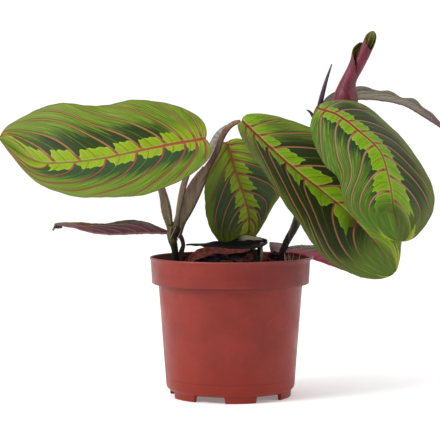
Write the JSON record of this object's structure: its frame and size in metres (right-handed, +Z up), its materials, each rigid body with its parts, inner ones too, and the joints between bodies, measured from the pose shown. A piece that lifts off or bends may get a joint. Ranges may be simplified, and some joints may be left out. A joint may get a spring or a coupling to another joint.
{
  "type": "potted prayer plant",
  "caption": "Potted prayer plant: broad oval leaves with feathered veins on arching stalks, in a round tapered nursery pot with a rim band and a slotted foot.",
  "frame": {"origin": "on the standing plane, below the pot's axis", "axes": "+X along the widest reach of the leaves, +Y towards the back, +Z up"},
  "size_m": [0.3377, 0.1479, 0.2724],
  "materials": {
    "pot_plastic": "satin moulded terracotta-coloured plastic with fine scratches",
    "peat": "dark crumbly peat with woody fibres",
    "leaf_blade": "satin green blade with red veins, lime feathering and dark patches, purple beneath",
    "leaf_maroon": "satin maroon underside, rolled outwards",
    "stalk": "smooth olive to purple-brown stalk with short hairs",
    "leaf_dead": "dull blackened leaf",
    "leaf_dry": "dull dry red-brown leaf with fibres"
  },
  "bodies": {
    "root": {"pot": "pot_plastic", "soil": "peat", "left_shoot": "stalk", "right_shoot": "stalk", "leaf_left_large": "leaf_blade", "leaf_centre_large": "leaf_blade", "leaf_right_front": "leaf_blade", "leaf_centre_back": "leaf_blade", "leaf_right_back": "leaf_blade", "leaf_left_low": "leaf_blade", "leaf_right_low": "leaf_blade", "leaf_left_hidden": "leaf_blade", "leaf_rolled": "leaf_maroon", "leaf_spike": "leaf_maroon", "leaf_soil_dark": "leaf_dead", "leaf_dried": "leaf_dry"}
  },
  "joints": []
}
